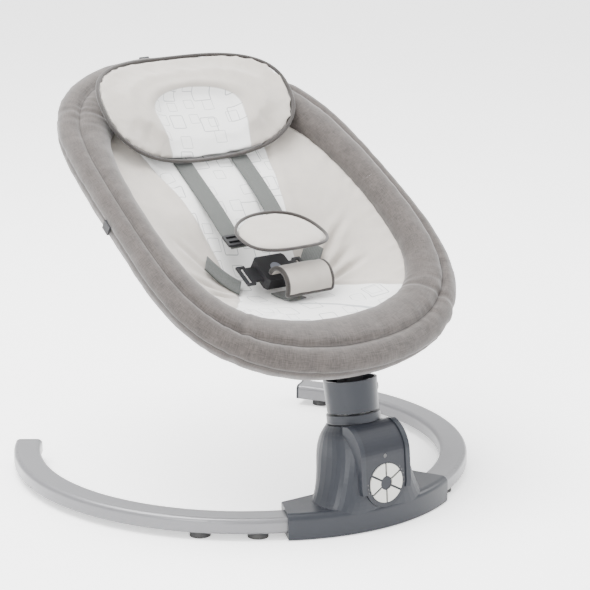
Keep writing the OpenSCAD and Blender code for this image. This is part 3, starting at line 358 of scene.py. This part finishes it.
def melange(name, dark, light, along_uv=True, seams=()):
    """Heather yarns in two directions, with a stitched dark line at each given UV height."""
    mat, tree, surface = finish_named(name, light, 0.88, Sheen_Weight=0.25, Sheen_Roughness=0.5)
    spot = wire(tree, "TexCoord").outputs["UV" if along_uv else "Object"]
    warp = wire(tree, "Mapping", {"Scale": (100, 800, 800)}, {"Vector": spot}).outputs[0]
    weft = wire(tree, "Mapping", {"Scale": (800, 100, 800)}, {"Vector": spot}).outputs[0]
    both = sums(tree, "ADD", grain(tree, warp, 1.0, 3.0, 0.7), grain(tree, weft, 1.0, 3.0, 0.7))
    mean = sums(tree, "MULTIPLY", both, 0.5)
    blotch = sums(tree, "MULTIPLY", grain(tree, spot, 55.0, 2.0), 0.22)
    total = sums(tree, "SUBTRACT", sums(tree, "ADD", mean, blotch), 0.11)
    colour = two_tone(tree, total, dark, light, 0.36, 0.66)
    if seams:
        height = wire(tree, "SeparateXYZ", links={0: spot}).outputs["Y"]
        thread = tuple(c * 0.45 for c in dark)
        for at, width in seams:
            colour = mixed(tree, sums(tree, "COMPARE", height, at, width), colour, thread)
    coloured(tree, surface, colour)
    roughened(tree, surface, spread(tree, mean, 0.8, 0.96))
    bumped(tree, surface, mean, 0.4, 0.0005)
    return mat


RIM_LENGTH, RIM_GIRTH = 1.36, 0.21
taupe = melange("taupe_melange", (0.0200, 0.0160, 0.0140), (0.0760, 0.0640, 0.0575),
                seams=((OUTER_SEAM_AT / 360 * RIM_GIRTH, 0.0006), (CHANNEL_AT / 360 * RIM_GIRTH, 0.0004)))


def rim_skin(i, j):
    """i runs round the seat from its right side, j round the roll from its outside."""
    deg, turn = 360 * i, 360 * j
    roll = (turn + 180) % 360 - 180
    half = rim_half(deg)
    swell = 0
    if OUTER_SEAM_AT <= roll <= CHANNEL_AT:
        swell = 3.6 * math.sin(math.pi * (roll - OUTER_SEAM_AT) / (CHANNEL_AT - OUTER_SEAM_AT)) ** 0.8
    elif CHANNEL_AT < roll <= 180:
        swell = 3.4 * math.sin(math.pi * (roll - CHANNEL_AT) / (180 - CHANNEL_AT)) ** 0.8
    swell -= 3.6 * dip(roll, CHANNEL_AT, 7.0) + 1.8 * dip(roll, OUTER_SEAM_AT, 3.5)
    swell += 9.5 * dip(deg, FOOT_DEG, 24) * dip(roll, -78, 34)
    near = max(dip(deg, seam, 1.1) for seam in CROSS_SEAMS)
    pull = max(dip(deg, seam, 9.0) for seam in CROSS_SEAMS)
    swell -= 1.5 * near * (1 if roll > -30 else 0.3)
    c, o = frame_line(deg), outward(deg)
    way = math.radians(deg)
    ripple = noise.noise(Vector((math.cos(way) * 9, math.sin(way) * 9, roll / 40)))
    pucker = noise.noise(Vector((deg * 0.42, roll / 50, 3.0)))
    sewn = dip(roll, CHANNEL_AT, 22) + dip(roll, OUTER_SEAM_AT, 16)
    swell += 0.9 * ripple + pucker * (0.5 + 1.3 * pull) * (0.4 + sewn)
    if -75 < roll < OUTER_SEAM_AT:
        swell -= 1.2 * math.sin(math.pi * (OUTER_SEAM_AT - roll) / (75 + OUTER_SEAM_AT))
    a = math.radians(turn)
    reach = Vector((half * math.cos(a), RIM_THICK * math.sin(a)))
    slope = Vector((math.cos(a) / half, math.sin(a) / RIM_THICK)).normalized()
    reach += slope * swell
    return on_seat(c.x + o.x * reach.x, c.y + o.y * reach.x, c.z + reach.y)


bm = shaped_grid(480, 72, rim_skin, (RIM_LENGTH, RIM_GIRTH))
rim = new_piece("rim_cover", bm, [taupe], "seat", ["seat_rim"])


# ---------------------------------------------------------------- seat liner
# One quilted panel is sewn into the rim: plush cream sides around a printed white strip that widens
# again under the child's feet. It sags deepest where the child sits, and creases at the hips.
SLING_MID = -60.0
EDGE_TUCK = -0.4  # how far the panel's edge goes under the rim cover
SAG_EVEN, SAG_DEEP, HIP_AT, HIP_SPREAD = 20, 46, -75, 75
SAG_POWER = 2.4
# the white strip's edge: place along the seat and half width
STRIP = [(-240, 168), (-171, 135), (-150, 112), (-125, 84), (-100, 60), (-78, 51),
         (-40, 56), (0, 65), (35, 71), (70, 79), (110, 88), (240, 112)]
# each crease: across and along at one end, the same at the other end, and its depth
CREASES = [(62, -94, 128, -62, 2.2), (56, -104, 134, -88, 2.6), (66, -78, 124, -28, 1.8),
           (84, -66, 140, -20, 1.4), (-58, -90, -126, -64, 1.8), (-54, -102, -124, -94, 1.8),
           (-70, -60, -120, -10, 1.2), (-60, 40, -96, 118, 1.3), (40, -150, 96, -178, 1.0),
           (-30, -152, -92, -178, 1.1)]


def strip_half(u):
    for (low, a), (high, b) in zip(STRIP, STRIP[1:]):
        if u <= high:
            f = (u - low) / (high - low)
            f = f * f * (3 - 2 * f) * 0.4 + f * 0.6
            return a + (b - a) * f
    return STRIP[-1][1]


def liner_edge(deg, gap=1.2):
    return frame_line(deg) - outward(deg) * (rim_half(deg) + gap)


def sling_drop(u):
    return -SAG_EVEN - SAG_DEEP * dip(u, HIP_AT, HIP_SPREAD)


def crease_depth(x, u):
    total = 0
    for x0, u0, x1, u1, deep in CREASES:
        run = Vector((x1 - x0, u1 - u0))
        t = ((x - x0) * run.x + (u - u0) * run.y) / run.length_squared
        if -0.2 < t < 1.2:
            away = abs((x - x0) * run.y - (u - u0) * run.x) / run.length
            taper = max(0, 1 - (2 * t - 1) ** 2)
            total += 1.7 * deep * taper * (dip(away, 0, 4.0) - 0.6 * dip(away, 9, 5.5))
    return total


def disc(i, j):
    """The unit square on the unit disc, as share of the radius and angle in degrees."""
    a, b = 2 * i - 1, 2 * j - 1
    if abs(a) < 1e-9 and abs(b) < 1e-9:
        return 0.0, 0.0
    if abs(a) > abs(b):
        return abs(a), math.degrees(math.pi / 4 * b / a) + (180 if a < 0 else 0)
    return abs(b), 90 - math.degrees(math.pi / 4 * a / b) + (180 if b < 0 else 0)


def liner_spot(i, j):
    f, deg = disc(i, j)
    e = liner_edge(deg % 360, EDGE_TUCK)
    x, u = e.x * f, SLING_MID + (e.y - SLING_MID) * f
    return x, u, e.z * f * f + sling_drop(u) * (1 - f ** SAG_POWER), f


def liner_skin(i, j):
    x, u, b, f = liner_spot(i, j)
    inside = strip_half(u) - abs(x)
    calm = min(1, (1 - f) * 8)
    soft = 1.8 * noise.noise(Vector((x / 38, u / 38, 1.0)))
    soft += 0.5 * noise.noise(Vector((x / 13, u / 13, 5.0)))
    quilt = -1.5 * dip(inside, 0, 2.6) + 1.3 * dip(inside, -9, 7)
    uneven = 2 * noise.noise(Vector((x / 20, u / 20, 9)))
    edge = 0.9 * math.sin(math.atan2(u - SLING_MID, x) * 46 + uneven) * dip(f, 0.97, 0.03)
    return on_seat(x, u, b + calm * (soft + quilt - crease_depth(x, u)) + edge)


def faced_off_seat(bm):
    """Turns an open sheet over where most of its faces look down."""
    if sum(f.normal.dot(OFF) for f in bm.faces) < 0:
        bmesh.ops.reverse_faces(bm, faces=bm.faces)


bm = shaped_grid(150, 150, liner_skin, (1, 1), weld=False)
inside = bm.verts.layers.float.new("strip_edge")
uv = bm.loops.layers.uv["UVMap"]
for vert in bm.verts:
    rel = vert.co - SEAT_MIDDLE
    x, u = rel.x * 1000, rel.dot(ALONG) * 1000
    vert[inside] = (strip_half(u) - abs(x)) / 1000
for face in bm.faces:
    for loop in face.loops:
        rel = loop.vert.co - SEAT_MIDDLE
        loop[uv].uv = (rel.x, rel.dot(ALONG))
faced_off_seat(bm)

PRINT_GREY, BAND_GREY, STITCH_GREY = (0.30, 0.31, 0.315), (0.33, 0.345, 0.355), (0.20, 0.19, 0.175)


def outlines(tree, place, cell, low, seed):
    """Thin rounded-square outlines, one to a cell, nudged and sized at random."""
    sets = {"Location": (seed, seed * 0.37, 0), "Rotation": (0, 0, 0.06), "Scale": (1 / cell, 1 / cell, 0)}
    step = wire(tree, "Mapping", sets, {"Vector": place}).outputs[0]
    corner = vectors(tree, "FLOOR", step)
    luck = wire(tree, "TexWhiteNoise", links={"Vector": corner}, noise_dimensions="2D")
    nudge = vectors(tree, "MULTIPLY", luck.outputs["Color"], (0.34, 0.34, 0))
    moved = vectors(tree, "SUBTRACT", vectors(tree, "FRACTION", step), nudge)
    folded = vectors(tree, "ABSOLUTE", vectors(tree, "SUBTRACT", moved, (0.33, 0.33, 0)))
    half = wire(tree, "MapRange", {"To Min": 0.10, "To Max": 0.26}, {"Value": luck.outputs["Value"]})
    size = wire(tree, "CombineXYZ", links={0: half.outputs[0], 1: half.outputs[0]}).outputs[0]
    kept = vectors(tree, "MAXIMUM", vectors(tree, "SUBTRACT", folded, size), (0, 0, 0))
    line = sums(tree, "COMPARE", vectors(tree, "LENGTH", kept, out="Value"), 0.045, 0.014)
    return sums(tree, "MULTIPLY", line, sums(tree, "GREATER_THAN", luck.outputs["Value"], low))


def cream_cloth(name, cream, white=None, edge_name=None, foot_band=False):
    """Short-pile cotton plush. Inside an edge attribute, where one is named, it is printed smooth cotton."""
    mat, tree, surface = finish_named(name, cream, 0.9, Sheen_Weight=0.35, Sheen_Roughness=0.45)
    coords = wire(tree, "TexCoord")
    spot, chart = coords.outputs["Object"], coords.outputs["UV"]
    nap = grain(tree, spot, 34.0, 4.0, 0.6)
    pile = grain(tree, spot, 950.0, 2.0, 0.6)
    dark, light = tuple(c * 0.93 for c in cream), tuple(min(1, c * 1.05) for c in cream)
    colour = two_tone(tree, nap, dark, light, 0.3, 0.7)
    if edge_name:
        edge = wire(tree, "Attribute", attribute_name=edge_name).outputs["Fac"]
        within = wire(tree, "MapRange", {"From Min": -0.0006, "From Max": 0.0006}, {"Value": edge}).outputs[0]
        large = outlines(tree, chart, 0.043, 0.30, 0.2)
        small = outlines(tree, chart, 0.026, 0.55, 3.7)
        squares = sums(tree, "MAXIMUM", large, small)
        printed = mixed(tree, squares, white, PRINT_GREY)
        if foot_band:
            off_line = vectors(tree, "DOT_PRODUCT", chart, (0.557, 0.830, 0), out="Value")
            along = vectors(tree, "DOT_PRODUCT", chart, (0.830, -0.557, 0), out="Value")
            band = sums(tree, "COMPARE", off_line, -0.1193, 0.0022)
            both = sums(tree, "MULTIPLY", band, sums(tree, "GREATER_THAN", along, 0.074))
            printed = mixed(tree, both, printed, BAND_GREY)
        colour = mixed(tree, within, colour, printed)
        seam = sums(tree, "MULTIPLY", sums(tree, "COMPARE", edge, 0.0, 0.0005), 0.35)
        colour = mixed(tree, seam, colour, STITCH_GREY)
    coloured(tree, surface, colour)
    roughened(tree, surface, spread(tree, nap, 0.84, 0.96))
    bumped(tree, surface, pile, 0.4, 0.0005)
    return mat


CREAM = (0.395, 0.365, 0.330)
liner_cloth = cream_cloth("liner_cotton", CREAM, (0.66, 0.66, 0.65), "strip_edge", True)
liner = new_piece("seat_liner", bm, [liner_cloth], "seat", ["seat_sling"])
backing = liner.modifiers.new("wadding", "SOLIDIFY")
backing.thickness = 0.0042
backing.offset = -1


# ---------------------------------------------------------------- head cushion and belly pad
# Two stuffed pads: a wide bean-shaped head cushion and a small oval pad over the belly. Plush on top,
# melange underneath, closed all round by a dark corded seam. The head cushion has a flat printed window.
def swollen(bm, voxel, cap, half, pressure=4.0):
    """The closed mesh is remeshed and blown up like a stuffed pad; its sewn edge stays put."""
    start = bpy.data.meshes.new("swelling")
    bm.to_mesh(start)
    bm.free()
    bag = bpy.data.objects.new("swelling", start)
    scene.collection.objects.link(bag)
    even = bag.modifiers.new("even", "REMESH")
    even.mode = "VOXEL"
    even.voxel_size = voxel
    bpy.context.view_layer.update()
    flat = bpy.data.meshes.new_from_object(bag.evaluated_get(bpy.context.evaluated_depsgraph_get()))
    bag.modifiers.clear()
    bag.data = flat
    before = [v.co.copy() for v in flat.vertices]
    cloth = bag.modifiers.new("cloth", "CLOTH")
    cloth.settings.quality = 6
    cloth.settings.use_pressure = True
    cloth.settings.uniform_pressure_force = pressure
    cloth.settings.effector_weights.gravity = 0
    cloth.point_cache.frame_start = 1
    cloth.point_cache.frame_end = 20
    for k in range(1, 21):
        scene.frame_set(k)
    shown = bag.evaluated_get(bpy.context.evaluated_depsgraph_get()).to_mesh()
    after = [v.co.copy() for v in shown.vertices]
    bag.modifiers.clear()
    for vert, old, new in zip(flat.vertices, before, after):
        step = new - old
        step *= min(1.0, max(0.0, 3 - 3 * math.hypot(old.x / half[0], old.y / half[1])))
        if step.length > cap:
            step = step.normalized() * cap
        vert.co = old + step
    scene.frame_set(1)
    result = bmesh.new()
    result.from_mesh(flat)
    bpy.data.objects.remove(bag)
    return result


def pad_outline(deg, wide, long, bend, notch):
    """A point on the pad's edge seam in its own frame, millimetres."""
    c, s = math.cos(math.radians(deg)), math.sin(math.radians(deg))
    g = 1 - notch * max(0, -s) ** 6
    px = eased(c, 0.82)
    return Vector((wide / 2 * px, long / 2 * g * eased(s, 0.82), bend * px * px))


def pad_ball(wide, long, thick, bend, notch):
    """A ball pressed into the pad's shape, in metres in its own frame."""
    bm = bmesh.new()
    bmesh.ops.create_uvsphere(bm, u_segments=72, v_segments=36, radius=1)
    for vert in bm.verts:
        v = math.asin(max(-1, min(1, vert.co.z)))
        deg = math.degrees(math.atan2(vert.co.y, vert.co.x))
        full = pad_outline(deg, wide, long, bend, notch)
        c = max(math.cos(v), 0.0) ** 0.55
        vert.co = Vector((full.x * c, full.y * c, thick / 2 * math.sin(v) + full.z * c * c)) / 1000
    bmesh.ops.recalc_face_normals(bm, faces=bm.faces)
    return bm


def tilted(u, b, across, deg):
    """From a pad's own frame in metres to its place on the seat."""
    a = math.radians(deg)

    def place(p):
        x, y, z = p.x * 1000, p.y * 1000, p.z * 1000
        along = u + y * math.cos(a) - z * math.sin(a)
        return on_seat(across + x, along, b + y * math.sin(a) + z * math.cos(a))
    return place


def corded_edge(name, points, radius, mat, body):
    """A round cord sewn along a closed line."""
    line = bpy.data.curves.new(name, "CURVE")
    line.dimensions = "3D"
    line.bevel_depth = radius
    line.bevel_resolution = 3
    run = line.splines.new("NURBS")
    run.points.add(len(points) - 1)
    for point, place in zip(run.points, points):
        point.co = (*place, 1)
    run.use_cyclic_u = True
    run.order_u = 3
    holder = bpy.data.objects.new(name, line)
    scene.collection.objects.link(holder)
    bpy.context.view_layer.update()
    mesh = bpy.data.meshes.new_from_object(holder.evaluated_get(bpy.context.evaluated_depsgraph_get()))
    bpy.data.objects.remove(holder)
    bm = bmesh.new()
    bm.from_mesh(mesh)
    bmesh.ops.remove_doubles(bm, verts=bm.verts, dist=1e-6)
    bmesh.ops.recalc_face_normals(bm, faces=bm.faces)
    return new_piece(name, bm, [mat], body)


cord_cloth = melange("cord_melange", (0.012, 0.010, 0.009), (0.040, 0.034, 0.031), along_uv=False)
under_cloth = melange("under_melange", (0.0200, 0.0165, 0.0145), (0.0780, 0.0660, 0.0600), along_uv=False)
plush = cream_cloth("pad_plush", (0.375, 0.347, 0.313))
window_cloth = cream_cloth("window_plush", (0.375, 0.347, 0.313), (0.66, 0.66, 0.65), "window_edge")


WINDOW_HALF, WINDOW_TOP, WINDOW_WIDEST = 65, 25, -12


def window_inside(x, y):
    """How far a point lies inside the head cushion's printed window, millimetres."""
    if y > WINDOW_WIDEST:
        reach = (y - WINDOW_WIDEST) / (WINDOW_TOP - WINDOW_WIDEST)
        return (1 - math.sqrt((x / WINDOW_HALF) ** 2 + reach ** 2.2)) * 40
    return (1 - abs(x) / (WINDOW_HALF - 0.10 * (WINDOW_WIDEST - y))) * 40


SEAM_STEPS = 96


def stuffed(name, wide, long, thick, bend, notch, place, cap, window, node, cord, seam):
    """One stuffed pad with its cord: bend lifts its ends, notch cuts its lower side, seam lifts the cord."""
    def middle_height(x):
        px = min(1, abs(x) / (wide / 2))
        return bend * px * px

    ball = pad_ball(wide - 7, long - 7, thick * 0.86, bend, notch)
    bm = swollen(ball, 0.0045, cap, (wide / 2000, long / 2000))
    bmesh.ops.subdivide_edges(bm, edges=bm.edges, cuts=1, use_grid_fill=True)
    for _ in range(2):
        bmesh.ops.smooth_vert(bm, verts=bm.verts, factor=0.5,
                              use_axis_x=True, use_axis_y=True, use_axis_z=True)
    bmesh.ops.recalc_face_normals(bm, faces=bm.faces)
    uv = bm.loops.layers.uv.new("UVMap")
    edge = bm.verts.layers.float.new("window_edge")
    for vert in bm.verts:
        x, y, z = vert.co * 1000
        middle = middle_height(x)
        depth = window_inside(x, y) if window else -30
        vert[edge] = depth / 1000
        if window and z > middle:
            sink = 1 / (1 + math.exp(-(depth - 2) / 1.8))
            z = z - (z - middle - 1.5) * 0.62 * sink + 1.6 * dip(depth, -8, 6)
        wrinkle = 0.8 * noise.noise(Vector((x / 16, y / 16, 2.0)))
        wrinkle += 0.35 * noise.noise(Vector((x / 6, y / 6, 4.0)))
        rim_near = dip(math.hypot(x / (wide / 2), y / (long / 2)), 0.96, 0.10)
        vert.co = Vector((x, y, z + wrinkle * (1 if z > middle else -0.5) * (0.5 + rim_near))) / 1000
    for face in bm.faces:
        centre = face.calc_center_median() * 1000
        face.material_index = 1 if centre.z < middle_height(centre.x) + seam - 3.6 else 0
        for loop in face.loops:
            loop[uv].uv = (loop.vert.co.x, loop.vert.co.y)
    for vert in bm.verts:
        vert.co = place(vert.co)
    bmesh.ops.recalc_face_normals(bm, faces=bm.faces)
    cloths = [window_cloth if window else plush, under_cloth]
    piece = new_piece(name, bm, cloths, "seat", [node])
    ring = []
    for k in range(SEAM_STEPS):
        sewn = pad_outline(360 * k / SEAM_STEPS, wide - 3.5, long - 3.5, bend, notch)
        ring.append(place((sewn + Vector((0, 0, seam))) / 1000))
    corded_edge(name + "_cord", ring, cord, cord_cloth, "seat")


stuffed("head_pillow", wide=284, long=165, thick=22, bend=27, notch=0.08,
        place=tilted(172, 10.5, 0, 16), cap=0.008, window=True,
        node="head_cushion", cord=0.0025, seam=-1.0)
stuffed("belly_cushion", wide=120, long=92, thick=13, bend=-6, notch=0,
        place=tilted(-59, 8.5, 4, -14), cap=0.005, window=False,
        node="belly_pad", cord=0.0021, seam=2.5)


# ---------------------------------------------------------------- crotch pad
# A small padded sleeve arches over the crotch strap: plush outside, with a melange binding sewn round
# its open ends and lower edges.
ARCH_MIDDLE, ARCH_WIDE, ARCH_OUT = (14, -111, -29), 66, 24
ARCH_WALL = 5.5


def arch_spot(i, j, inset=0.0, lift=0.0):
    x = ARCH_WIDE * (i - 0.5)
    turn = math.pi * (0.03 + 0.94 * j)
    crown = 1.2 * math.sin(math.pi * i) * math.sin(math.pi * j) - 1.2
    r = ARCH_OUT - inset + crown + lift
    across, along, off = ARCH_MIDDLE
    return on_seat(across + x, along - r * math.cos(turn), off + r * math.sin(turn))


def arch_skin(i, j):
    return arch_spot(i, j, 0, 0.5 * noise.noise(Vector((i * 5, j * 5, 0))))


bm = shaped_grid(28, 30, arch_skin, (0.066, 0.075), weld=False)
middle = on_seat(*ARCH_MIDDLE)
if sum((f.calc_center_median() - middle).dot(f.normal) for f in bm.faces) < 0:
    bmesh.ops.reverse_faces(bm, faces=bm.faces)
bmesh.ops.solidify(bm, geom=bm.faces, thickness=ARCH_WALL / 1000)
bmesh.ops.recalc_face_normals(bm, faces=bm.faces)
crotch = new_piece("crotch_sleeve", bm, [plush], "seat", ["crotch_pad"])
edge_line = [(0, j / 14) for j in range(14)]
edge_line += [(i / 12, 1) for i in range(12)]
edge_line += [(1, 1 - j / 14) for j in range(14)]
edge_line += [(1 - i / 12, 0) for i in range(12)]
binding = [arch_spot(i, j, 2.0) for i, j in edge_line]
corded_edge("crotch_sleeve_binding", binding, 0.0031, cord_cloth, "seat")


# ---------------------------------------------------------------- harness webbing
# Sage-grey polyester webbing, 25 mm wide, woven with a fine rib. The shoulder straps come out under the
# head cushion and run under the belly pad; the lap straps lie on the liner beside the hips.
WEB_WIDE, WEB_THICK, WEB_STEPS = 25.0, 1.6, 40


def ribs(tree, place, scale, way):
    sets = {"Scale": scale, "Distortion": 0.4, "Detail": 1.0}
    links = {"Vector": place}
    return wire(tree, "TexWave", sets, links, wave_type="BANDS", bands_direction=way).outputs["Fac"]


webbing, tree, surface = finish_named("sage_webbing", (0.0583, 0.0632, 0.0589), 0.7, Sheen_Weight=0.15)
chart = wire(tree, "TexCoord").outputs["UV"]
weave = sums(tree, "MULTIPLY", ribs(tree, chart, 210.0, "X"), ribs(tree, chart, 160.0, "Y"))
coloured(tree, surface, two_tone(tree, weave, (0.0409, 0.0453, 0.0422), (0.0781, 0.0831, 0.0781), 0.05, 0.7))
roughened(tree, surface, spread(tree, grain(tree, chart, 300.0), 0.62, 0.8))
bumped(tree, surface, weave, 0.6, 0.0006)


def sling_top(x, u):
    """The liner's height under a point, without its quilting and creases."""
    angle = math.atan2(u - SLING_MID, abs(x))
    low, high = -90.0, 90.0
    for _ in range(18):
        mid = (low + high) / 2
        e = liner_edge(mid)
        if math.atan2(e.y - SLING_MID, e.x) > angle:
            high = mid
        else:
            low = mid
    e = liner_edge((low + high) / 2)
    f = math.hypot(x, u - SLING_MID) / math.hypot(e.x, e.y - SLING_MID)
    return e.z * f * f + sling_drop(u) * (1 - f ** SAG_POWER)


def strap(name, path, cross, node):
    """Flat webbing along path(f), f from 0 to 1; cross is its direction across, in seat millimetres."""
    spots = [Vector(path(k / WEB_STEPS)) for k in range(WEB_STEPS + 1)]
    length = sum((b - a).length for a, b in zip(spots, spots[1:])) / 1000
    across = Vector(cross).normalized()

    def skin(i, j):
        at = i * WEB_STEPS
        k = min(WEB_STEPS - 1, int(at))
        side = (j - 0.5) * 2
        p = spots[k].lerp(spots[k + 1], at - k) + across * (WEB_WIDE / 2 * side)
        return on_seat(*(p + Vector((0, 0, WEB_THICK - 0.25 * abs(side) ** 8))))

    bm = shaped_grid(80, 12, skin, (length, WEB_WIDE / 1000), weld=False)
    faced_off_seat(bm)
    bmesh.ops.solidify(bm, geom=bm.faces, thickness=WEB_THICK / 1000)
    bmesh.ops.recalc_face_normals(bm, faces=bm.faces)
    return new_piece(name, bm, [webbing], "seat", [node])


for word, s in (("left", -1), ("right", 1)):
    def shoulder(f, s=s):
        u = 106 - 150 * f
        x = 42 - 4 * f * f
        return s * x, u, sling_top(x, u) + 2.6 + 30 * f ** 3

    def lap(f, s=s):
        x, u = 49 + 33 * f, -82 + 38 * f
        return s * x, u, sling_top(x, u) + 5.5

    strap("shoulder_webbing_" + word, shoulder, (1, 0, 0), "shoulder_strap_" + word)
    strap("lap_webbing_" + word, lap, (-0.6 * s, 0.8, 0), "lap_strap_" + word)


def crotch_run(f):
    u = -98 - 34 * f
    return 0, u, sling_top(0, u) + 2.6


strap("crotch_webbing", crotch_run, (1, 0, 0), "crotch_strap")
